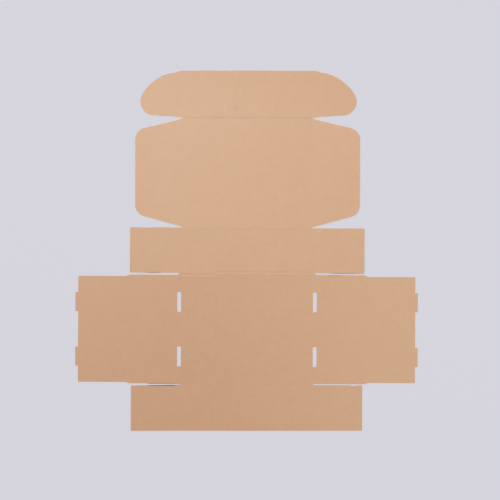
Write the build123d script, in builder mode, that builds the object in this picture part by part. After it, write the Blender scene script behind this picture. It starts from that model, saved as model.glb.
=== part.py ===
from build123d import *
import os
from math import atan2, ceil, degrees, floor, radians, sqrt, tan

# The flat die-cut blank of a small mailer box with a tuck-in lid, cut and creased from one sheet of
# single-wall corrugated board. Millimetres. X runs across the sheet, along its flutes, and Y up it,
# from the front wall to the tuck flap. The inside face lies at Z = 0 and the outside face looks up.

# Board: two liners glued to the crests of a fluted medium
board_thickness = 1.6
liner_thickness = 0.22
medium_thickness = 0.18
flute_pitch = 3.4
glue_line_width = 0.3

# Panels up the middle of the sheet, each from crease to crease or from crease to cut edge
front_height = 52.7
base_depth = 127.8
rear_height = 52.3
lid_depth = 127.4
tuck_length = 54.0

# The same panels across the sheet, from crease to crease
front_width = 153.3
base_width = 160.3
rear_width = 157.0
lid_width = 149.5

# Flaps at the ends of the front wall and the rear wall, and at the ends of the lid
dust_flap_length = 56.3
lid_flap_length = 54.5
lid_flap_rear_taper = 15.2
lid_flap_front_taper = 13.5
lid_flap_corner_radius = 14.0

# Ears of the tuck flap, and its straight edge, which stands a little proud of them
ear_length = 49.2
ear_heel_radius = 16.6
ear_rise = 1.9
ear_lead_in = 7.0
tuck_lip = 1.5
tuck_lip_run = 7.0

# Side wings: outer wall, roll-over between two creases, and inner wall that locks into the base
outer_wall_height = 54.0
roll_over_width = 6.0
inner_wall_height = 53.7
roll_over_step = 1.6
tab_projection = 3.0
tab_length = 22.0
tab_inset = 32.5
slot_width = 4.3
slot_end_clearance = 0.3

# Cuts between panels, measured from the nearest crease
wing_relief = 1.4
rear_flap_relief = 0.6
rear_flap_head = 0.4
front_flap_relief = 0.8
front_flap_rise = 0.3
notch_width = 1.2
corner_radius = 0.9
cut_tip_radius = 0.45

# Creases pressed into the inside face, where the flutes are crushed shut
crease_width = 2.6
crease_floor_width = 1.0
crease_depth = 0.8
crease_end_gap = 0.8
flute_crush = 2.4
edge_wall = 0.3

# Faint lines where three of the creases show outside. The one at the rear of the base follows a
# flute, jumps to the next one up and drifts back towards the crease.
mark_width = 2.4
mark_depth = 0.12
mark_jump_x = -37.0
mark_jump = 2.6
mark_drift = 1.3

# Heights of the creases and of the two cut ends on the sheet, which is centred on the origin
sheet_height = front_height + base_depth + rear_height + lid_depth + tuck_length
front_edge_y = -sheet_height / 2
front_crease_y = front_edge_y + front_height
rear_crease_y = front_crease_y + base_depth
lid_crease_y = rear_crease_y + rear_height
tuck_crease_y = lid_crease_y + lid_depth
tuck_edge_y = tuck_crease_y + tuck_length

# Distances of the creases and of the cut ends from the middle of the sheet
front_crease_x = front_width / 2
front_end_x = front_crease_x + dust_flap_length
rear_crease_x = rear_width / 2
rear_end_x = rear_crease_x + dust_flap_length
lid_crease_x = lid_width / 2
lid_end_x = lid_crease_x + lid_flap_length
ear_end_x = lid_crease_x + ear_length
wing_crease_x = base_width / 2
outer_wall_x = wing_crease_x + outer_wall_height
inner_wall_x = outer_wall_x + roll_over_width
wing_end_x = inner_wall_x + inner_wall_height
tab_end_x = wing_end_x + tab_projection

# The slots stand just inside the creases of the wings, level with the tabs
slot_x = wing_crease_x - slot_width / 2
slot_length = tab_length + 2 * slot_end_clearance
tab_heights = [front_crease_y + tab_inset, rear_crease_y - tab_inset]

# Edges of the wings, which narrow by a step at the roll-over
outer_wall_low_y = front_crease_y + wing_relief
outer_wall_high_y = rear_crease_y - wing_relief
inner_wall_low_y = outer_wall_low_y + roll_over_step
inner_wall_high_y = outer_wall_high_y - roll_over_step

# Edges of the dust flaps that face the wings
front_flap_y = front_crease_y - front_flap_relief
rear_flap_y = rear_crease_y + rear_flap_relief

# Notches beside the lid, where its flaps taper away from the rear wall and from the tuck flap
rear_notch_y = lid_crease_y + rear_flap_head
rear_taper_y = rear_notch_y + notch_width
tuck_taper_y = tuck_crease_y - notch_width
lid_flap_low_y = rear_taper_y + lid_flap_length * tan(radians(lid_flap_rear_taper))
lid_flap_high_y = tuck_taper_y - lid_flap_length * tan(radians(lid_flap_front_taper))

# Each ear is one large arc struck from the tuck crease, run into a smaller arc at its heel. The arc
# tops out below the straight edge of the tuck, which falls to it in a short slope.
ear_radius = tuck_length - tuck_lip
ear_low_y = tuck_crease_y + ear_rise
heel_y = ear_low_y + ear_heel_radius
heel_x = ear_end_x - ear_heel_radius
ear_x = heel_x - sqrt((ear_radius - ear_heel_radius) ** 2 - (heel_y - tuck_crease_y) ** 2)
lip_end_y = tuck_crease_y + sqrt(ear_radius ** 2 - tuck_lip_run ** 2)
heel_angle = degrees(atan2(heel_y - tuck_crease_y, heel_x - ear_x))
lip_angle = degrees(atan2(lip_end_y - tuck_crease_y, tuck_lip_run))


def tab_corners(y):
    """Corners of one locking tab on the end of a wing, from its lower side to its upper one."""
    low = y - tab_length / 2
    high = y + tab_length / 2
    return [
        (wing_end_x, low, 0),
        (tab_end_x, low, corner_radius),
        (tab_end_x, high, corner_radius),
        (wing_end_x, high, 0),
    ]


# The cut line up the right-hand side as far as the ear: each corner with the radius that rounds it
cut_corners = [
    (front_end_x, front_edge_y, corner_radius),
    (front_end_x, front_flap_y, corner_radius),
    (front_crease_x, front_crease_y + front_flap_rise, cut_tip_radius),
    (front_crease_x, outer_wall_low_y, cut_tip_radius),
    (outer_wall_x, outer_wall_low_y, 0),
    (inner_wall_x, inner_wall_low_y, 0),
    (wing_end_x, inner_wall_low_y, corner_radius),
    *tab_corners(tab_heights[0]),
    *tab_corners(tab_heights[1]),
    (wing_end_x, inner_wall_high_y, corner_radius),
    (inner_wall_x, inner_wall_high_y, 0),
    (outer_wall_x, outer_wall_high_y, 0),
    (rear_crease_x, outer_wall_high_y, cut_tip_radius),
    (rear_crease_x, rear_flap_y, cut_tip_radius),
    (rear_end_x, rear_flap_y, corner_radius),
    (rear_end_x, rear_notch_y, corner_radius),
    (lid_crease_x, rear_notch_y, cut_tip_radius),
    (lid_crease_x, rear_taper_y, cut_tip_radius),
    (lid_end_x, lid_flap_low_y, lid_flap_corner_radius),
    (lid_end_x, lid_flap_high_y, lid_flap_corner_radius),
    (lid_crease_x, tuck_taper_y, cut_tip_radius),
    (lid_crease_x, tuck_crease_y, cut_tip_radius),
    (lid_crease_x + ear_lead_in, ear_low_y, 0),
]

# Creases of the right-hand half, from one end to the other: those across the sheet start at its
# middle, and those up the sheet run from cut to cut
creases = [
    ((0, front_crease_y), (front_crease_x, front_crease_y)),
    ((0, rear_crease_y), (rear_crease_x, rear_crease_y)),
    ((0, lid_crease_y), (lid_crease_x, lid_crease_y)),
    ((0, tuck_crease_y), (lid_crease_x, tuck_crease_y)),
    ((front_crease_x, front_edge_y), (front_crease_x, front_crease_y)),
    ((wing_crease_x, outer_wall_low_y), (wing_crease_x, outer_wall_high_y)),
    ((outer_wall_x, outer_wall_low_y), (outer_wall_x, outer_wall_high_y)),
    ((inner_wall_x, inner_wall_low_y), (inner_wall_x, inner_wall_high_y)),
    ((rear_crease_x, rear_flap_y), (rear_crease_x, rear_notch_y)),
    ((lid_crease_x, rear_taper_y), (lid_crease_x, tuck_taper_y)),
]
crease_section = [
    (-crease_width / 2, 0),
    (crease_width / 2, 0),
    (crease_floor_width / 2, crease_depth),
    (-crease_floor_width / 2, crease_depth),
]

# The lines that show outside, over the whole width
rear_mark_reach = rear_crease_x - crease_end_gap
lid_mark_reach = lid_crease_x - crease_end_gap
outside_marks = [
    ((-rear_mark_reach, rear_crease_y), (mark_jump_x, rear_crease_y)),
    ((mark_jump_x, rear_crease_y + mark_jump), (rear_mark_reach, rear_crease_y + mark_drift)),
    ((-lid_mark_reach, lid_crease_y), (lid_mark_reach, lid_crease_y)),
    ((-lid_mark_reach, tuck_crease_y), (lid_mark_reach, tuck_crease_y)),
]
mark_section = [
    (-mark_width / 2, board_thickness),
    (0, board_thickness - mark_depth),
    (mark_width / 2, board_thickness),
]

# Where the flutes stand open at a cut edge, between which heights and from how far out. Those of
# the base show in its slots only.
open_flutes = [
    (front_edge_y, front_flap_y, front_crease_x + flute_crush),
    (inner_wall_low_y, inner_wall_high_y, inner_wall_x + flute_crush),
    (rear_flap_y, rear_notch_y, rear_crease_x + flute_crush),
    (rear_taper_y, tuck_taper_y, lid_crease_x + flute_crush),
    (tuck_crease_y + flute_crush, tuck_edge_y, 0),
]
slot_flutes = [(y - slot_length / 2, y + slot_length / 2, 0) for y in tab_heights]
flute_cuts = [(open_flutes, tab_end_x + board_thickness), (slot_flutes, slot_x)]

# One hollow of the flutes in section: it is roofed by a liner and narrows to where the medium turns
hollow_half_width = (flute_pitch - glue_line_width) / 2
hollow_roof_z = board_thickness - liner_thickness
hollow_tip_z = liner_thickness + medium_thickness
upper_hollow = [(-hollow_half_width, hollow_roof_z), (0, hollow_tip_z), (hollow_half_width, hollow_roof_z)]
lower_hollow = [(y, board_thickness - z) for y, z in upper_hollow]


def hollow_centres(low, high, offset):
    """Middles of the hollows that lie wholly between two edges, all on one grid of flutes."""
    clear = hollow_half_width + edge_wall
    first = ceil((low + clear - offset) / flute_pitch)
    last = floor((high - clear - offset) / flute_pitch)
    return [(offset + index * flute_pitch, 0) for index in range(first, last + 1)]


with BuildPart() as outside_lines:
    # What the creases press out of the outside face, as one shallow vee along each line
    for start, end in outside_marks:
        run = Vector(*end) - Vector(*start)
        with BuildSketch(Plane(start, x_dir=Axis.Z.direction.cross(run), z_dir=run)):
            Polygon(*mark_section, align=None)
        extrude(amount=run.length)

with BuildPart() as box_blank:
    # The right-hand half of the sheet, cut along its outline
    with BuildSketch():
        with BuildLine():
            FilletPolyline(
                (0, front_edge_y),
                *[(x, y) for x, y, radius in cut_corners],
                (heel_x, ear_low_y),
                radius=[radius for x, y, radius in cut_corners],
            )
            CenterArc((heel_x, heel_y), ear_heel_radius, -90, 90 + heel_angle)
            CenterArc((ear_x, tuck_crease_y), ear_radius, heel_angle, lip_angle - heel_angle)
            Polyline(
                (ear_x + tuck_lip_run, lip_end_y),
                (ear_x, tuck_edge_y),
                (0, tuck_edge_y),
                (0, front_edge_y),
            )
        make_face()
        # Slots in the base, for the tabs of the wing
        with Locations([(slot_x, y) for y in tab_heights]):
            Rectangle(slot_width, slot_length, mode=Mode.SUBTRACT)
    extrude(amount=board_thickness)

    # Its creases, pressed into the inside face and stopped short of the cuts
    for start, end in creases:
        run = Vector(*end) - Vector(*start)
        gap = run.normalized() * crease_end_gap
        origin = Vector(*start) + (gap if start[0] > 0 else Vector())
        length = (Vector(*end) - gap - origin).length
        with BuildSketch(Plane(origin, x_dir=Axis.Z.direction.cross(run), z_dir=run)):
            Polygon(*crease_section, align=None)
        extrude(amount=length, mode=Mode.SUBTRACT)

    # The hollows of its flutes, out through every edge that is cut across them
    for rows, length in flute_cuts:
        for low, high, start in rows:
            with BuildSketch(Plane.YZ.offset(start)):
                with Locations(hollow_centres(low, high, 0)):
                    Polygon(*upper_hollow, align=None)
                with Locations(hollow_centres(low, high, flute_pitch / 2)):
                    Polygon(*lower_hollow, align=None)
        extrude(amount=length, mode=Mode.SUBTRACT)

    # The left-hand half
    mirror(about=Plane.YZ)

    # The lines that show on the outside face
    add(outside_lines.part, mode=Mode.SUBTRACT)

box_blank.part.label = "box_blank"

os.makedirs("parts", exist_ok=True)
export_step(box_blank.part, "parts/box_blank.step")
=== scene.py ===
import math
import bmesh
import bpy
from mathutils import Matrix, Vector


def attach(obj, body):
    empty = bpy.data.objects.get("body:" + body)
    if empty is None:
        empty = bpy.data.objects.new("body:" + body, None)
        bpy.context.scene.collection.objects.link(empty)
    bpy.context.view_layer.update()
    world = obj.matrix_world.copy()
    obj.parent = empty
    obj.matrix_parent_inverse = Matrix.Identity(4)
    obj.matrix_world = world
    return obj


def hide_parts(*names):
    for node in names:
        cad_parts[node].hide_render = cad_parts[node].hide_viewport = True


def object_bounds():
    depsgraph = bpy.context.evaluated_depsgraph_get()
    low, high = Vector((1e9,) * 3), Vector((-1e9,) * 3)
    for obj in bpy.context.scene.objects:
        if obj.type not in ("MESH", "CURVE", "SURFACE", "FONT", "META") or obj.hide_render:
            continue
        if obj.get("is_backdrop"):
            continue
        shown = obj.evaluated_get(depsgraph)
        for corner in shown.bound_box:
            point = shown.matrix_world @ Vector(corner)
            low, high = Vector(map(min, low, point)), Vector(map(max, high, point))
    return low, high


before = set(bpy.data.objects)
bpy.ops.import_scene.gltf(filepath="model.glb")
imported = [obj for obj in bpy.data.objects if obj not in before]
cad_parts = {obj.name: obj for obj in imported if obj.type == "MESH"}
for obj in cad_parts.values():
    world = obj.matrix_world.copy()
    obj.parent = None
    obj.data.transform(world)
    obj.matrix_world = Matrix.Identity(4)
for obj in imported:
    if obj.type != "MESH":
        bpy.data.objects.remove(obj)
cad_low, cad_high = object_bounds()

# The blank's outline. The real sheet is cut from corrugated board by one flat die, whose steel rules
# follow this line. It is drawn in millimetres, X across the sheet along the flutes and Y up it, from
# the front wall to the tuck flap, with the sheet's middle at the origin.
board_thickness = 1.6
front_height = 52.7
base_depth = 127.8
rear_height = 52.3
lid_depth = 127.4
tuck_length = 54.0
front_crease_x = 76.65
wing_crease_x = 80.15
rear_crease_x = 78.5
lid_crease_x = 74.75
dust_flap_length = 56.3
lid_flap_length = 54.5
lid_flap_rear_taper = math.radians(15.2)
lid_flap_front_taper = math.radians(13.5)
lid_flap_corner_radius = 14.0
ear_length = 49.2
ear_heel_radius = 16.6
ear_rise = 1.9
ear_lead_in = 7.0
tuck_lip = 1.5
tuck_lip_run = 7.0
outer_wall_height = 54.0
roll_over_width = 6.0
roll_over_step = 1.6
inner_wall_height = 53.7
tab_projection = 3.0
tab_length = 22.0
tab_inset = 32.5
slot_width = 4.3
slot_length = 22.6
wing_relief = 1.4
rear_flap_relief = 0.6
rear_flap_head = 0.4
front_flap_relief = 0.8
front_flap_rise = 0.3
notch_width = 1.2
corner_radius = 0.9
cut_tip_radius = 0.45
arc_step = math.radians(6)

sheet_height = front_height + base_depth + rear_height + lid_depth + tuck_length
front_edge_y = -sheet_height / 2
front_crease_y = front_edge_y + front_height
rear_crease_y = front_crease_y + base_depth
lid_crease_y = rear_crease_y + rear_height
tuck_crease_y = lid_crease_y + lid_depth
tuck_edge_y = tuck_crease_y + tuck_length
front_end_x = front_crease_x + dust_flap_length
rear_end_x = rear_crease_x + dust_flap_length
lid_end_x = lid_crease_x + lid_flap_length
ear_end_x = lid_crease_x + ear_length
outer_wall_x = wing_crease_x + outer_wall_height
inner_wall_x = outer_wall_x + roll_over_width
wing_end_x = inner_wall_x + inner_wall_height
tab_end_x = wing_end_x + tab_projection
slot_x = wing_crease_x - slot_width / 2
tab_heights = [front_crease_y + tab_inset, rear_crease_y - tab_inset]
wing_low_y = front_crease_y + wing_relief
wing_high_y = rear_crease_y - wing_relief
front_flap_y = front_crease_y - front_flap_relief
rear_flap_y = rear_crease_y + rear_flap_relief
rear_notch_y = lid_crease_y + rear_flap_head
rear_taper_y = rear_notch_y + notch_width
tuck_taper_y = tuck_crease_y - notch_width
lid_flap_low_y = rear_taper_y + lid_flap_length * math.tan(lid_flap_rear_taper)
lid_flap_high_y = tuck_taper_y - lid_flap_length * math.tan(lid_flap_front_taper)


def arc(centre, radius, start, turn):
    """Points along an arc that starts at one angle and turns through another."""
    steps = max(2, math.ceil(abs(turn) / arc_step))
    angles = [start + turn * step / steps for step in range(steps + 1)]
    return [(centre[0] + radius * math.cos(a), centre[1] + radius * math.sin(a)) for a in angles]


def rounded(corners):
    """Points along a line of corners (x, y, radius), with an arc at each corner that has a radius."""
    points = [corners[0][:2]]
    for before, corner, after in zip(corners, corners[1:], corners[2:]):
        here = Vector(corner[:2])
        back = (Vector(before[:2]) - here).normalized()
        ahead = (Vector(after[:2]) - here).normalized()
        half_angle = back.angle(ahead) / 2
        if corner[2]:
            centre = here + (back + ahead).normalized() * corner[2] / math.sin(half_angle)
            start = back * corner[2] / math.tan(half_angle) + here - centre
            side = 1 if back.cross(ahead) < 0 else -1
            turn = side * (math.pi - 2 * half_angle)
            points += arc(centre, corner[2], math.atan2(start.y, start.x), turn)
        else:
            points.append(corner[:2])
    return points + [corners[-1][:2]]


def tab_corners(y):
    """Corners of one locking tab on the end of a wing, from its lower side to its upper one."""
    low, high = y - tab_length / 2, y + tab_length / 2
    return [
        (wing_end_x, low, 0),
        (tab_end_x, low, corner_radius),
        (tab_end_x, high, corner_radius),
        (wing_end_x, high, 0),
    ]


ear_radius = tuck_length - tuck_lip
ear_low_y = tuck_crease_y + ear_rise
heel_y = ear_low_y + ear_heel_radius
heel_x = ear_end_x - ear_heel_radius
ear_x = heel_x - math.sqrt((ear_radius - ear_heel_radius) ** 2 - (heel_y - tuck_crease_y) ** 2)
lip_end_y = tuck_crease_y + math.sqrt(ear_radius**2 - tuck_lip_run**2)
heel_angle = math.atan2(heel_y - tuck_crease_y, heel_x - ear_x)
lip_angle = math.atan2(lip_end_y - tuck_crease_y, tuck_lip_run)
right_side = rounded([
    (0, front_edge_y, 0),
    (front_end_x, front_edge_y, corner_radius),
    (front_end_x, front_flap_y, corner_radius),
    (front_crease_x, front_crease_y + front_flap_rise, cut_tip_radius),
    (front_crease_x, wing_low_y, cut_tip_radius),
    (outer_wall_x, wing_low_y, 0),
    (inner_wall_x, wing_low_y + roll_over_step, 0),
    (wing_end_x, wing_low_y + roll_over_step, corner_radius),
    *tab_corners(tab_heights[0]),
    *tab_corners(tab_heights[1]),
    (wing_end_x, wing_high_y - roll_over_step, corner_radius),
    (inner_wall_x, wing_high_y - roll_over_step, 0),
    (outer_wall_x, wing_high_y, 0),
    (rear_crease_x, wing_high_y, cut_tip_radius),
    (rear_crease_x, rear_flap_y, cut_tip_radius),
    (rear_end_x, rear_flap_y, corner_radius),
    (rear_end_x, rear_notch_y, corner_radius),
    (lid_crease_x, rear_notch_y, cut_tip_radius),
    (lid_crease_x, rear_taper_y, cut_tip_radius),
    (lid_end_x, lid_flap_low_y, lid_flap_corner_radius),
    (lid_end_x, lid_flap_high_y, lid_flap_corner_radius),
    (lid_crease_x, tuck_taper_y, cut_tip_radius),
    (lid_crease_x, tuck_crease_y, cut_tip_radius),
    (lid_crease_x + ear_lead_in, ear_low_y, 0),
    (heel_x, ear_low_y, 0),
])
right_side += arc((heel_x, heel_y), ear_heel_radius, -math.pi / 2, math.pi / 2 + heel_angle)[1:]
right_side += arc((ear_x, tuck_crease_y), ear_radius, heel_angle, lip_angle - heel_angle)[1:]
right_side += [(ear_x, tuck_edge_y), (0, tuck_edge_y)]

# The cuts as they came out. The rules have worn and the board gives under them, so some cuts are a
# little out of line. Each lies on one side, between two heights, and its line says how far up it is
# off at some distances from the middle, with straight runs between them.
left = -1
right = 1
heel_band = 3.0
lip_band = 4.0
front_edge_cut = (front_edge_y, front_edge_y + corner_radius)
front_flap_cut = (front_flap_y - corner_radius, front_crease_y + front_flap_rise)
wing_low_cut = (wing_low_y - cut_tip_radius, wing_low_y)
wing_high_cut = (wing_high_y, wing_high_y + cut_tip_radius)
rear_flap_cut = (rear_flap_y - cut_tip_radius, rear_flap_y + corner_radius)
rear_flap_head_cut = (rear_notch_y - corner_radius, rear_notch_y)
lid_flap_head_cut = (lid_flap_high_y - lid_flap_corner_radius, tuck_taper_y)
ear_low_cut = (ear_low_y, ear_low_y + heel_band)
tuck_edge_cut = (lip_end_y - lip_band, tuck_edge_y)
worn_cuts = [
    (left, front_edge_cut, [(134.0, -0.4)]),
    (right, front_edge_cut, [(134.0, 0.7)]),
    (left, front_flap_cut, [(80.0, -0.45), (134.0, -0.15)]),
    (right, front_flap_cut, [
        (80.0, -0.1), (113.0, 0.6), (119.5, 0.65), (121.0, 0.2), (125.0, 0.2), (127.0, 0.8)
    ]),
    (left, wing_low_cut, [(80.0, -0.6), (113.5, -0.6), (115.5, 0.0)]),
    (right, wing_high_cut, [(80.0, 0.42)]),
    (left, rear_flap_cut, [
        (80.0, 0.25), (94.0, 0.3), (102.0, 0.0), (112.0, 0.0), (120.0, 0.3), (130.0, 0.45)
    ]),
    (right, rear_flap_cut, [(80.0, 0.65), (95.0, 0.25), (99.0, -0.25), (130.0, -0.15)]),
    (left, rear_flap_head_cut, [(134.0, 0.25)]),
    (left, lid_flap_head_cut, [(75.0, -0.3), (80.0, -0.6)]),
    (left, ear_low_cut, [
        (82.0, -1.15), (89.0, -0.3), (102.0, -0.15), (106.0, 0.85), (109.0, 0.8), (112.0, 0.0)
    ]),
    (right, ear_low_cut, [
        (82.0, -0.6), (91.0, -0.15), (105.0, 0.95), (109.5, 1.05), (112.0, 0.45), (118.0, 0.0)
    ]),
    (left, tuck_edge_cut, [(5.0, 0.0), (50.0, -0.35), (90.0, -0.35), (100.0, 0.0)]),
]

# Some flaps' ends are off sideways too. What lies past a distance on one side, between the lowest and
# the highest of three heights, is shifted to the right, in full from the middle height up.
shift_margin = 1.0
wing_end_start = inner_wall_x + shift_margin
tab_start = wing_end_x + shift_margin
ear_start = lid_crease_x + ear_lead_in + shift_margin
heel_start_y = ear_low_y + 1.0
heel_full_y = ear_low_y + 12.0
uneven_ends = [
    (left, wing_end_start, wing_low_y, wing_low_y, wing_high_y, -0.25),
    (right, wing_end_start, wing_low_y, wing_low_y, wing_high_y, -0.35),
    (left, tab_start, wing_low_y, wing_low_y, wing_high_y, -0.2),
    (left, ear_start, tuck_crease_y, tuck_crease_y, tuck_edge_y, 0.4),
    (right, ear_start, heel_start_y, heel_full_y, tuck_edge_y, 1.27),
]
rounding_off = 0.001


def die_wear(x, y):
    """How far up the cut is off at a point of the outline, and the places where that changes."""
    for side, (low, high), line in worn_cuts:
        if x * side > 0 and abs(x) < inner_wall_x and low - rounding_off < y < high + rounding_off:
            off = line[0][1]
            for (near, off_near), (far, off_far) in zip(line, line[1:]):
                share = min(1.0, max(0.0, (abs(x) - near) / (far - near)))
                off += (off_far - off_near) * share
            return off, [side * place for place, off_there in line]
    return 0.0, []


def uneven(x, y):
    """How far to the right a flap's end is off at a point of the outline."""
    shift = 0.0
    for side, past, low, full, high, off in uneven_ends:
        if x * side > past and low < y < high:
            shift += off * min(1.0, (y - low) / (full - low + rounding_off))
    return shift


def worn(points):
    """The outline as it is cut, with points added where a worn cut changes."""
    made = []
    for here, after in zip(points, points[1:] + points[:1]):
        made.append(here)
        joints = die_wear(*here)[1]
        if joints == die_wear(*after)[1]:
            between = [x for x in joints if min(here[0], after[0]) < x < max(here[0], after[0])]
            for x in sorted(between, reverse=here[0] > after[0]):
                share = (x - here[0]) / (after[0] - here[0])
                made.append((x, here[1] + (after[1] - here[1]) * share))
    return [(x + uneven(x, y), y + die_wear(x, y)[0]) for x, y in made]


outline = worn(right_side + [(-x, y) for x, y in right_side[-2:0:-1]])


def prism(loops, low, high):
    """A mesh of upright prisms, each over a loop of points, from one height to another."""
    shape = bmesh.new()
    for loop in loops:
        bottom = shape.faces.new([shape.verts.new((x, y, low)) for x, y in reversed(loop)])
        raised = bmesh.ops.extrude_face_region(shape, geom=[bottom], use_keep_orig=True)
        top = [v for v in raised["geom"] if isinstance(v, bmesh.types.BMVert)]
        bmesh.ops.translate(shape, verts=top, vec=(0, 0, high - low))
    bmesh.ops.recalc_face_normals(shape, faces=shape.faces)
    made = bpy.data.meshes.new("prism")
    shape.to_mesh(made)
    shape.free()
    return made


def placed(name, mesh):
    """The mesh as an object in the scene."""
    made = bpy.data.objects.new(name, mesh)
    bpy.context.scene.collection.objects.link(made)
    return made


cutting_depth = 3.0
outline_die = placed("outline_die", prism([outline], -cutting_depth, board_thickness + cutting_depth))
slot_loops = [
    [(x - slot_width / 2, y - slot_length / 2), (x + slot_width / 2, y - slot_length / 2),
     (x + slot_width / 2, y + slot_length / 2), (x - slot_width / 2, y + slot_length / 2)]
    for x in (-slot_x, slot_x)
    for y in tab_heights
]
slot_die = placed("slot_die", prism(slot_loops, -cutting_depth, board_thickness + cutting_depth))

# The sheet between its two faces. Creasing rules of the same die press a groove into the inside face,
# which lies underneath, and crush the flutes there. Outside, three of the creases show as faint lines,
# and the one at the rear of the base follows a flute, jumps to the next one and drifts back.
crease_width = 2.6
crease_depth = 0.8
crease_end_gap = 0.8
crease_fade = 1.2
mark_width = 2.8
bead_width = 3.0
sheet_margin = 6.0
widest_cell = 12.0
groove_cell = 0.33
closest_lines = 0.1
creases = [
    ((-front_crease_x, front_crease_y), (front_crease_x, front_crease_y)),
    ((-rear_crease_x, rear_crease_y), (rear_crease_x, rear_crease_y)),
    ((-lid_crease_x, lid_crease_y), (lid_crease_x, lid_crease_y)),
    ((-lid_crease_x, tuck_crease_y), (lid_crease_x, tuck_crease_y)),
]
for side in (left, right):
    creases += [
        ((side * front_crease_x, front_edge_y), (side * front_crease_x, front_crease_y)),
        ((side * wing_crease_x, wing_low_y), (side * wing_crease_x, wing_high_y)),
        ((side * outer_wall_x, wing_low_y), (side * outer_wall_x, wing_high_y)),
        ((side * inner_wall_x, wing_low_y), (side * inner_wall_x, wing_high_y)),
        ((side * rear_crease_x, rear_flap_y), (side * rear_crease_x, rear_notch_y)),
        ((side * lid_crease_x, rear_taper_y), (side * lid_crease_x, tuck_taper_y)),
    ]
follows_low = -1.0
jump_start_x = -38.5
jump_end_x = -34.5
follows_high = 1.9
drifts_to = 2.0
lid_mark_y = lid_crease_y - 0.6
# Each mark's scuff darkens the paper along it, partly as scuffing and partly as painted shade in the
# crease.
outside_marks = [
    {
        "path": [
            (-rear_crease_x, rear_crease_y + follows_low),
            (jump_start_x, rear_crease_y + follows_low),
            (jump_end_x, rear_crease_y + follows_high),
            (rear_crease_x, rear_crease_y + drifts_to),
        ],
        "groove": 0.125,
        "bead": 0.045,
        "scuff_and_shade": 0.012,
    },
    {
        "path": [(-lid_crease_x, lid_mark_y), (lid_crease_x, lid_mark_y)],
        "groove": 0.04,
        "bead": 0.0,
        "scuff_and_shade": 0.04,
    },
    {
        "path": [(-lid_crease_x, tuck_crease_y), (lid_crease_x, tuck_crease_y)],
        "groove": 0.03,
        "bead": 0.0,
        "scuff_and_shade": 0.10,
    },
]


def smooth(share):
    """An even rise from 0 to 1 that starts and ends level."""
    share = min(1.0, max(0.0, share))
    return share * share * (3 - 2 * share)


def marked(point):
    """How deep the creases show in the outside face: a rounded groove each, and a bead in front of it."""
    sunk = 0.0
    for mark in outside_marks:
        for start, end in zip(mark["path"], mark["path"][1:]):
            if start[0] < point.x <= end[0]:
                share = (point.x - start[0]) / (end[0] - start[0])
                off = point.y - start[1] - (end[1] - start[1]) * share
                ends = min(point.x - mark["path"][0][0], mark["path"][-1][0] - point.x) - crease_end_gap
                groove = max(0.0, 1 - abs(off) / (mark_width / 2))
                bead = max(0.0, 1 - abs(off + (mark_width + bead_width) / 2) / (bead_width / 2))
                hollow = mark["groove"] * smooth(groove) - mark["bead"] * smooth(bead)
                sunk += hollow * smooth(ends / crease_fade)
    return sunk


def pressed(point, lines, width, depth):
    """How deep the rules press a face at a point: a rounded groove along each line, faded at its ends."""
    deepest = 0.0
    for start, end in lines:
        run = Vector(end) - Vector(start)
        along = (point - Vector(start)).dot(run) / run.length
        off = abs((point - Vector(start)).cross(run)) / run.length
        ends = min(along, run.length - along) - crease_end_gap
        if off < width / 2 and ends > 0:
            across = math.cos(math.pi * off / width)
            deepest = max(deepest, depth * across * smooth(ends / crease_fade))
    return deepest


def cell_lines(low, high, fine):
    """Where a grid's lines run: close together between some places, and never far apart elsewhere."""
    lines = {low, high}
    for start, end in fine:
        pieces = math.ceil((end - start) / groove_cell)
        lines.update(start + (end - start) * step / pieces for step in range(pieces + 1))
    lines = sorted(lines)
    between = []
    for before, after in zip(lines, lines[1:]):
        pieces = math.ceil((after - before) / widest_cell)
        between += [before + (after - before) * step / pieces for step in range(1, pieces)]
    lines = sorted(lines + between)
    return [lines[0]] + [after for before, after in zip(lines, lines[1:]) if after - before > closest_lines]


upright = [start[0] for start, end in creases if start[0] == end[0]]
level = [start[1] for start, end in creases if start[1] == end[1]]
fine_x = [(x - crease_width / 2, x + crease_width / 2) for x in upright]
fine_y = [(y - crease_width / 2, y + crease_width / 2) for y in level]
for mark in outside_marks:
    heights = [y for x, y in mark["path"]]
    fine_y.append((min(heights) - mark_width / 2 - bead_width, max(heights) + mark_width / 2))
    fine_x += [(x - mark_width / 2, x + mark_width / 2) for x, y in mark["path"][1:-1]]
half_sheet = tab_end_x + sheet_margin
x_lines = cell_lines(-half_sheet, half_sheet, fine_x)
y_lines = cell_lines(front_edge_y - sheet_margin, tuck_edge_y + sheet_margin, fine_y)


def sheet_slab():
    """The uncut sheet: a grid of cells on each face, drawn together at the rim."""
    slab = bmesh.new()
    faces = []
    for outside in (False, True):
        rows = []
        for y in y_lines:
            row = []
            for x in x_lines:
                point = Vector((x, y))
                if outside:
                    height = board_thickness - marked(point)
                else:
                    height = pressed(point, creases, crease_width, crease_depth)
                row.append(slab.verts.new((x, y, height)))
            rows.append(row)
        for low_row, high_row in zip(rows, rows[1:]):
            for a, b, c, d in zip(low_row, low_row[1:], high_row[1:], high_row):
                slab.faces.new((a, b, c, d) if outside else (d, c, b, a))
        faces.append(rows)
    low_rim, high_rim = [
        rows[0] + [row[-1] for row in rows[1:]] + rows[-1][-2::-1] + [row[0] for row in rows[-2:0:-1]]
        for rows in faces
    ]
    for index, vert in enumerate(low_rim):
        after = (index + 1) % len(low_rim)
        slab.faces.new((vert, low_rim[after], high_rim[after], high_rim[index]))
    made = bpy.data.meshes.new("kraft_blank")
    slab.to_mesh(made)
    slab.free()
    return made


blank = placed("kraft_blank", sheet_slab())
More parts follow.
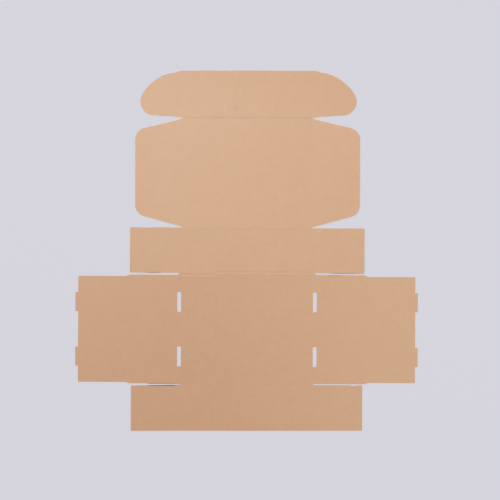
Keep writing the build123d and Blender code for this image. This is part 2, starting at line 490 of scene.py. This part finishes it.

# The paper of the liners: brown kraft, unbleached and uncoated. It is cloudy from the way its fibres
# settle, which mostly run up the sheet, and the flutes underneath show through as a faint washboard.
# The cut edges are a little lighter, and the pressed creases a little burnished: glossier, and darker in
# colour, partly from scuffing and partly as painted crease shade.
paper_colour = (0.580, 0.3445, 0.1972, 1)
edge_colour = (0.62, 0.39, 0.24, 1)
inside_colour = (0.55, 0.335, 0.20, 1)
speck_colour = (0.30, 0.17, 0.10, 1)
metre = 1000.0
flute_pitch = 3.4
washboard_tone = 0.002
washboard_relief = 0.007
cloud_size = 22.0
cloud_tone = 0.04
floc_size = 6.0
floc_tone = 0.08
formation_size = 2.2
formation_tone = 0.11
formation_relief = 0.05
fibre_width = 0.5
fibre_stretch = 9.0
fibre_tone = 0.06
fibre_relief = 0.03
speck_size = 0.8
speck_threshold = 0.27
speck_sharpness = 14
speck_strength = 0.35
paper_roughness = 0.47
formation_roughness = 0.12
burnish_gloss = 0.2
paper_reflectance = 0.5
side_slope = 0.3
full_slope = 0.8
underside_slope = 0.25

# Marks on the paper, and painted shade: a smudge on the tuck flap; painted shade along stretches of the
# slits, for the shadow that lies in them; and painted shade that makes the paper a little darker below the
# lid's crease, and darker and redder below the crease at the rear of the base, most of all at the left, for
# panels that face the light a little differently.
scuff_and_shade_width = 1.9
smudge_place = (-13.9, 163.4)
smudge_width = 5.6
smudge_tone = 0.075
smudge_raggedness = 3.0
painted_slit_shade = [
    ((-116.0, -155.3), (-79.0, -155.1), 0.68),
    ((-116.0, -153.0), (-80.0, -153.0), 0.26),
    ((-117.0, -25.3), (-97.0, -25.3), 0.36),
    ((96.0, -25.6), (128.0, -25.7), 0.26),
    ((92.0, -28.1), (109.0, -28.1), 0.3),
]
painted_slit_shade_width = 1.2
painted_slit_shade_fade = 6.0
# Painted shade below the lid's crease and the base's rear crease: where it is strongest across the sheet,
# how far it reaches, and how dark it is in each colour.
painted_shade_centre_x = -73.0
painted_shade_width = 254.0
painted_shade_below_lid = 0.02
painted_shade_below_base = 0.016
painted_shade_below_base_green = 0.030
painted_shade_below_base_blue = 0.035


class Socket:
    """An output of a node. Python's operators on it add the Math nodes that work the sum out."""

    def __init__(self, graph, output):
        self.graph = graph
        self.output = output

    def out(self, name):
        """Another output of the same node."""
        return Socket(self.graph, self.output.node.outputs[name])

    def math(self, operation, *others):
        return self.graph.math(operation, self, *others)

    def __add__(self, other):
        return self.graph.math("ADD", self, other)

    def __radd__(self, other):
        return self.graph.math("ADD", other, self)

    def __sub__(self, other):
        return self.graph.math("SUBTRACT", self, other)

    def __rsub__(self, other):
        return self.graph.math("SUBTRACT", other, self)

    def __mul__(self, other):
        return self.graph.math("MULTIPLY", self, other)

    def __rmul__(self, other):
        return self.graph.math("MULTIPLY", other, self)

    def __truediv__(self, other):
        return self.graph.math("DIVIDE", self, other)

    def __rtruediv__(self, other):
        return self.graph.math("DIVIDE", other, self)


class Graph:
    """A node tree, with the one way in which nodes are put into it."""

    def __init__(self, tree):
        self.tree = tree

    def math(self, operation, *values):
        return self.node("ShaderNodeMath", {"operation": operation}, dict(enumerate(values)))

    def node(self, kind, settings=None, inputs=None):
        """A new node, set up first and wired next. Returns the first of its outputs that is in use."""
        made = self.tree.nodes.new(kind)
        for name, value in (settings or {}).items():
            setattr(made, name, value)
        for key, value in (inputs or {}).items():
            in_use = [socket for socket in made.inputs if socket.enabled and socket.name == key]
            socket = made.inputs[key] if isinstance(key, int) else in_use[0]
            for one in value if isinstance(value, list) else [value]:
                if isinstance(one, Socket):
                    self.tree.links.new(one.output, socket)
                else:
                    socket.default_value = one
        outputs = [output for output in made.outputs if output.enabled]
        return Socket(self, outputs[0]) if outputs else made


def kraft_nodes(graph):
    """The nodes of the kraft paper. Lengths in it are in millimetres."""
    coords = graph.node("ShaderNodeTexCoord")
    place = graph.node(
        "ShaderNodeVectorMath", {"operation": "SCALE"}, {"Vector": coords.out("Object"), "Scale": metre}
    )
    parts = graph.node("ShaderNodeSeparateXYZ", None, {"Vector": place})
    x = parts.out("X")
    y = parts.out("Y")

    def noise(size, detail, stretch=1.0, seed=0.0):
        """Noise about 0 with features of this size, drawn out up the sheet by the stretch."""
        where = graph.node("ShaderNodeMapping", None, {
            "Vector": place,
            "Location": (seed, seed, seed),
            "Scale": (1 / size, 1 / size / stretch, 1 / size),
        })
        clouding = {"Vector": where, "Scale": 1.0, "Detail": detail}
        return graph.node("ShaderNodeTexNoise", None, clouding) - 0.5

    def band(value, width):
        """1 on a line, falling smoothly to 0 at this distance from it."""
        share = 1 - (value.math("ABSOLUTE") / width).math("MINIMUM", 1.0)
        return share * share * (3 - 2 * share)

    def held(value):
        """The value, held between 0 and 1."""
        return value.math("MAXIMUM", 0.0).math("MINIMUM", 1.0)

    def within(value, low, high, soft):
        """1 between two values, with soft ends."""
        return held(((value - low) / soft).math("MINIMUM", (high - value) / soft))

    def line_height(start, end):
        """How high the straight line through two points runs at each place across the sheet."""
        return start[1] + (end[1] - start[1]) / (end[0] - start[0]) * (x - start[0])

    def mixed(share, first, second):
        """One colour, giving way to a second one."""
        colours = {"Factor": share, "A": first, "B": second}
        return graph.node("ShaderNodeMix", {"data_type": "RGBA"}, colours)

    clouds = noise(cloud_size, detail=3.0)
    flocs = noise(floc_size, detail=2.0, seed=3.0)
    formation = noise(formation_size, detail=3.0, seed=7.0)
    fibres = noise(fibre_width, detail=2.0, stretch=fibre_stretch, seed=13.0)
    washboard = (y * (2 * math.pi / flute_pitch)).math("COSINE")
    tone = 1 + cloud_tone * clouds + floc_tone * flocs + formation_tone * formation
    tone = tone + fibre_tone * fibres + washboard_tone * washboard
    # Painted shade: dark lines along stretches of the slits, standing in for the shadow in them.
    for start, end, depth in painted_slit_shade:
        near = band(y - line_height(start, end), painted_slit_shade_width)
        tone = tone - depth * near * within(x, start[0], end[0], painted_slit_shade_fade)
    away_x = x - smudge_place[0]
    away_y = y - smudge_place[1]
    away = (away_x * away_x + away_y * away_y).math("SQRT")
    tone = tone - smudge_tone * band(away + smudge_raggedness * formation, smudge_width)

    # Darker along the outside marks: partly scuffing, partly painted crease shade. The same share also
    # makes the paper there a little glossier.
    burnish_and_shade = 0.0
    below = []
    for mark in outside_marks:
        path = mark["path"]
        above_line = y - path[0][1]
        for start, end in zip(path, path[1:]):
            if start[1] != end[1]:
                run = held((x - start[0]) / (end[0] - start[0]))
                above_line = above_line - (end[1] - start[1]) * run
        reach = within(x, path[0][0], path[-1][0], crease_fade)
        burnish_and_shade = burnish_and_shade + mark["scuff_and_shade"] * band(above_line, scuff_and_shade_width) * reach
        below.append(held(0.5 - above_line / scuff_and_shade_width))
    # Painted shade: darker below the lid's crease, and darker and redder below the rear crease of the base,
    # strongest at the left, for panels that face the light differently.
    across = band(x - painted_shade_centre_x, painted_shade_width)
    base_shade_mask = below[0] * across
    lid_shade_mask = below[1] * across
    tone = tone - burnish_and_shade - painted_shade_below_lid * lid_shade_mask - painted_shade_below_base * base_shade_mask
    green = tone - painted_shade_below_base_green * base_shade_mask
    blue = tone - painted_shade_below_base_blue * base_shade_mask

    normal = graph.node("ShaderNodeSeparateXYZ", None, {"Vector": coords.out("Normal")})
    up = normal.out("Z")
    edge = 1 - held((up.math("ABSOLUTE") - side_slope) / (full_slope - side_slope))
    under = held(up / -underside_slope)
    bark = noise(speck_size, detail=1.0, seed=29.0)
    specks = held((bark - speck_threshold) * speck_sharpness)
    shade = mixed(edge, mixed(under, paper_colour, inside_colour), edge_colour)
    shade = mixed(specks * speck_strength, shade, speck_colour)
    tint = graph.node("ShaderNodeCombineXYZ", None, {"X": tone, "Y": green, "Z": blue})
    shade = graph.node("ShaderNodeVectorMath", {"operation": "MULTIPLY"}, {0: shade, 1: tint})
    relief = washboard_relief * washboard + formation_relief * formation + fibre_relief * fibres
    bump = graph.node("ShaderNodeBump", None, {"Height": relief / metre, "Distance": 1.0, "Strength": 1.0})
    rough = paper_roughness + formation_roughness * formation - burnish_gloss * burnish_and_shade
    finish = graph.node("ShaderNodeBsdfPrincipled", None, {
        "Base Color": shade,
        "Roughness": rough,
        "Normal": bump,
        "Specular IOR Level": paper_reflectance,
    })
    graph.node("ShaderNodeOutputMaterial", None, {"Surface": finish})


kraft = bpy.data.materials.new("brown_kraft")
kraft.use_nodes = True
kraft.node_tree.nodes.clear()
kraft_nodes(Graph(kraft.node_tree))

# The flutes: a wavy paper medium glued between the two liners, 3.4 mm from crest to crest. They run
# across the sheet and show as hollows where a cut crosses them, and as a groove between the liners
# where it runs along them. They end at the creases, where they are crushed shut.
liner_thickness = 0.22
medium_thickness = 0.18
glue_line_width = 0.3
flute_crush = 2.4
least_opening = 0.35
wave_points = 11
hollow_sizes = {
    "Pitch": flute_pitch,
    "Board": board_thickness,
    "Liner": liner_thickness,
    "Medium": medium_thickness,
    "Glue Line": glue_line_width,
    "Least Opening": least_opening,
    "Low": 0.0,
    "High": 0.0,
    "Start": 0.0,
    "Length": 0.0,
}


def hollow_tree(finish):
    """The node tree that makes a row of flute hollows, those over the medium and those under it."""
    tree = bpy.data.node_groups.new("flute_hollows", "GeometryNodeTree")
    for name, value in hollow_sizes.items():
        made = tree.interface.new_socket(name=name, in_out="INPUT", socket_type="NodeSocketFloat")
        made.default_value = value
    tree.interface.new_socket(name="Hollows", in_out="OUTPUT", socket_type="NodeSocketGeometry")
    graph = Graph(tree)
    given = graph.node("NodeGroupInput")
    pitch, board, liner, medium, glue, opening, low, high, start, length = [
        given.out(name) for name in hollow_sizes
    ]
    half_width = (pitch - glue) / 2
    share = graph.node("GeometryNodeInputIndex") / (wave_points - 1)
    across = half_width - 2 * half_width * share
    swing = board / 2 - liner - medium / 2
    rise = swing * (2 * math.pi * across / pitch).math("COSINE") - medium / 2
    wave = graph.node("GeometryNodeMeshLine", {"mode": "OFFSET"}, {"Count": wave_points})
    at = graph.node("ShaderNodeCombineXYZ", None, {"X": across, "Y": rise})
    wave = graph.node("GeometryNodeSetPosition", None, {"Geometry": wave, "Position": at})
    wave = graph.node("GeometryNodeMeshToCurve", None, {"Mesh": wave})
    section = graph.node("GeometryNodeSetSplineCyclic", None, {"Geometry": wave, "Cyclic": True})
    reach = graph.node("ShaderNodeCombineXYZ", None, {"X": length})
    axis = graph.node("GeometryNodeCurvePrimitiveLine", None, {"End": reach})
    hollow = graph.node(
        "GeometryNodeCurveToMesh",
        None,
        {"Curve": axis, "Profile Curve": section, "Fill Caps": True},
    )
    rows = []
    for shift, turn in ((0, 0), (pitch / 2, math.pi)):
        past = half_width - opening
        first = ((low - past - shift) / pitch).math("CEIL")
        last = ((high + past - shift) / pitch).math("FLOOR")
        where = graph.node(
            "ShaderNodeCombineXYZ", None, {"X": start, "Y": shift + first * pitch, "Z": board / 2}
        )
        step = graph.node("ShaderNodeCombineXYZ", None, {"Y": pitch})
        points = graph.node(
            "GeometryNodeMeshLine",
            {"mode": "OFFSET"},
            {"Count": last - first + 1, "Start Location": where, "Offset": step},
        )
        rows.append(graph.node(
            "GeometryNodeInstanceOnPoints",
            None,
            {"Points": points, "Instance": hollow, "Rotation": (turn, 0, 0)},
        ))
    joined = graph.node("GeometryNodeJoinGeometry", None, {"Geometry": rows})
    solid = graph.node("GeometryNodeRealizeInstances", None, {"Geometry": joined})
    solid = graph.node("GeometryNodeSetMaterial", None, {"Geometry": solid, "Material": finish})
    graph.node("NodeGroupOutput", None, {"Hollows": solid})
    return tree


hollows = hollow_tree(kraft)


def plain_mesh(made):
    """What an object's modifiers make of it, as a mesh of its own."""
    return bpy.data.meshes.new_from_object(made.evaluated_get(bpy.context.evaluated_depsgraph_get()))


def hollow_row(low, high, start, end):
    """The mesh of the hollows between two edges of a panel, from their inner ends out past the cut."""
    carrier = placed("flute_row", bpy.data.meshes.new("flute_row"))
    modifier = carrier.modifiers.new("hollows", "NODES")
    modifier.node_group = hollows
    sizes = {"Low": low, "High": high, "Start": start, "Length": end - start}
    for item in hollows.interface.items_tree:
        if item.name in sizes:
            modifier[item.identifier] = sizes[item.name]
    made = plain_mesh(carrier)
    bpy.data.objects.remove(carrier)
    return made


past_the_cut = 2.0
front_wall_end = front_crease_x - flute_crush
slot_reach = (slot_length - flute_pitch) / 2
hollow_rows = [
    hollow_row(front_edge_y, front_edge_y, -front_wall_end, front_wall_end),
    hollow_row(tuck_crease_y + flute_crush + flute_pitch / 2, tuck_edge_y, -half_sheet, half_sheet),
    *[hollow_row(y - slot_reach, y + slot_reach, -slot_x, slot_x) for y in tab_heights],
]
for side in (left, right):
    for low, high, near_x, far_x in (
        (front_edge_y, front_flap_y, front_crease_x + flute_crush, front_end_x + past_the_cut),
        (wing_low_y, wing_low_y, wing_crease_x + flute_crush, outer_wall_x - flute_crush),
        (wing_high_y, wing_high_y, wing_crease_x + flute_crush, outer_wall_x - flute_crush),
        (wing_low_y + roll_over_step, wing_high_y - roll_over_step, inner_wall_x + flute_crush,
         tab_end_x + past_the_cut),
        (rear_flap_y, rear_notch_y, rear_crease_x + flute_crush, rear_end_x + past_the_cut),
        (rear_taper_y, tuck_taper_y, lid_crease_x + flute_crush, lid_end_x + past_the_cut),
    ):
        hollow_rows.append(hollow_row(low, high, side * near_x, side * far_x))
gathered = bmesh.new()
for row in hollow_rows:
    gathered.from_mesh(row)
all_hollows = bpy.data.meshes.new("hollows")
gathered.to_mesh(all_hollows)
gathered.free()
hollow_die = placed("hollow_die", all_hollows)

# Cutting: the flat die goes through the sheet along the outline and the slots, and opens the flutes.
# As it lies, the sheet isn't quite flat: it still stands up along some creases, by two millimetres at
# the most, its panels sag or bulge a little between them, and its flaps come down from there.
rest_heights = {
    front_edge_y: 0.0,
    front_crease_y: 0.0,
    rear_crease_y: 2.0,
    lid_crease_y: 1.9,
    tuck_crease_y: 0.1,
    tuck_edge_y: 0.6,
}
panel_sag = {
    front_crease_y: -0.15,
    lid_crease_y: 0.05,
    tuck_crease_y: 0.4,
}

# The flaps beside the panels, from the front up: the height where each pair ends, its fold, its end,
# and how high its left and its right end lie.
flap_rows = [
    (front_crease_y, front_crease_x, front_end_x, 1.9, 0.0),
    (rear_crease_y, wing_crease_x, outer_wall_x, 0.0, 0.0),
    (rear_notch_y + notch_width / 2, rear_crease_x, rear_end_x, 0.6, 2.0),
    (tuck_taper_y + notch_width / 2, lid_crease_x, lid_end_x, 0.0, 2.0),
]
sharp_angle = math.radians(35)


def rest_height(x, y):
    """How high the sheet's underside lies at a point."""
    levels = sorted(rest_heights)
    index = max(0, min(len(levels) - 2, sum(level <= y for level in levels) - 1))
    low, high = levels[index], levels[index + 1]
    share = (y - low) / (high - low)
    height = rest_heights[low] * (1 - share) + rest_heights[high] * share
    height -= panel_sag.get(low, 0.0) * 4 * share * (1 - share)
    for top, fold_x, end_x, left_end, right_end in flap_rows:
        if y < top:
            across = min(1.0, max(0.0, (abs(x) - fold_x) / (end_x - fold_x)))
            return height * (1 - across) + (left_end if x < 0 else right_end) * across
    return height


for operation, die in (("INTERSECT", outline_die), ("DIFFERENCE", slot_die), ("DIFFERENCE", hollow_die)):
    cut = blank.modifiers.new(die.name, "BOOLEAN")
    cut.operation = operation
    cut.object = die
    cut.solver = "MANIFOLD"
sheet = plain_mesh(blank)
bpy.data.objects.remove(blank)
for die in (outline_die, slot_die, hollow_die):
    bpy.data.objects.remove(die)
for vert in sheet.vertices:
    vert.co.z += rest_height(vert.co.x, vert.co.y)
lowest = min(vert.co.z for vert in sheet.vertices)
sheet.transform(Matrix.Scale(1 / metre, 4) @ Matrix.Translation((0, 0, -lowest)))
sheet.materials.clear()
sheet.materials.append(kraft)
sheet.polygons.foreach_set("material_index", [0] * len(sheet.polygons))
sheet.shade_smooth()
sheet.set_sharp_from_angle(angle=sharp_angle)
sheet.name = "kraft_blank"
blank = placed("kraft_blank", sheet)
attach(blank, "root")
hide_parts("box_blank")

# The table that the blank lies on: a plain pale surface, photographed almost white. To the camera it
# is mostly as bright as it looks in the photograph, and the rest of it takes the blank's soft shadow.
table_colour = (0.672, 0.665, 0.723, 1)
table_size = 6.0
table_gap = 0.0002
table_own_light = 0.92
half_table = table_size / 2
table_corners = [(-half_table, -half_table), (half_table, -half_table), (half_table, half_table),
                 (-half_table, half_table)]
table_mesh = bpy.data.meshes.new("table")
table_mesh.from_pydata([(x, y, -table_gap) for x, y in table_corners], [], [(0, 1, 2, 3)])
table_paint = bpy.data.materials.new("table_paint")
table_paint.use_nodes = True
table_paint.node_tree.nodes.clear()
graph = Graph(table_paint.node_tree)
seen = graph.node("ShaderNodeLightPath").out("Is Camera Ray")
flat = graph.node("ShaderNodeEmission", None, {"Color": table_colour, "Strength": 1.0})
matt = graph.node("ShaderNodeBsdfDiffuse", None, {"Color": table_colour})
both = graph.node("ShaderNodeMixShader", None, {0: seen * table_own_light, 1: matt, 2: flat})
graph.node("ShaderNodeOutputMaterial", None, {"Surface": both})
table_mesh.materials.append(table_paint)
table = placed("table", table_mesh)
table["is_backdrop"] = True

# The light: a large soft lamp up and to the left, a weaker one on the right, and an even surround.
lamp_size = 0.7
lamps = [
    ("key_lamp", (-0.352, 0.573, 1.553), 19.7),
    ("fill_lamp", (0.542, -0.208, 0.9), 3.4),
]
surround_colour = (1.0, 1.0, 1.0, 1)
surround_strength = 0.215
for name, place, watts in lamps:
    light = bpy.data.lights.new(name, "AREA")
    light.shape = "SQUARE"
    light.size = lamp_size
    light.energy = watts
    lamp = placed(name, light)
    lamp.location = place
    lamp.rotation_euler = (-Vector(place)).to_track_quat("-Z", "Y").to_euler()
world = bpy.data.worlds.new("surround")
world.use_nodes = True
world.node_tree.nodes.clear()
graph = Graph(world.node_tree)
surround = graph.node(
    "ShaderNodeBackground", None, {"Color": surround_colour, "Strength": surround_strength}
)
graph.node("ShaderNodeOutputWorld", None, {"Surface": surround})
bpy.context.scene.world = world

# The camera looks straight down on the blank, which lies a quarter of a degree askew in the picture.
picture_scale = 1.15
picture_width = 500
picture_centre = (3.2, 0.9)
picture_lean = math.radians(0.25)
lens = 135.0
sensor = 36.0
eye = bpy.data.cameras.new("eye")
eye.lens = lens
eye.sensor_width = sensor
camera = placed("camera", eye)
camera_height = picture_scale * picture_width * lens / sensor + board_thickness
camera.location = Vector((picture_centre[0], picture_centre[1], camera_height)) / metre
camera.rotation_euler = (0, 0, picture_lean)
bpy.context.scene.camera = camera
bpy.context.scene.view_settings.view_transform = "Standard"

low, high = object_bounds()
{"cad": [list(cad_low), list(cad_high)], "visual": [list(low), list(high)]}
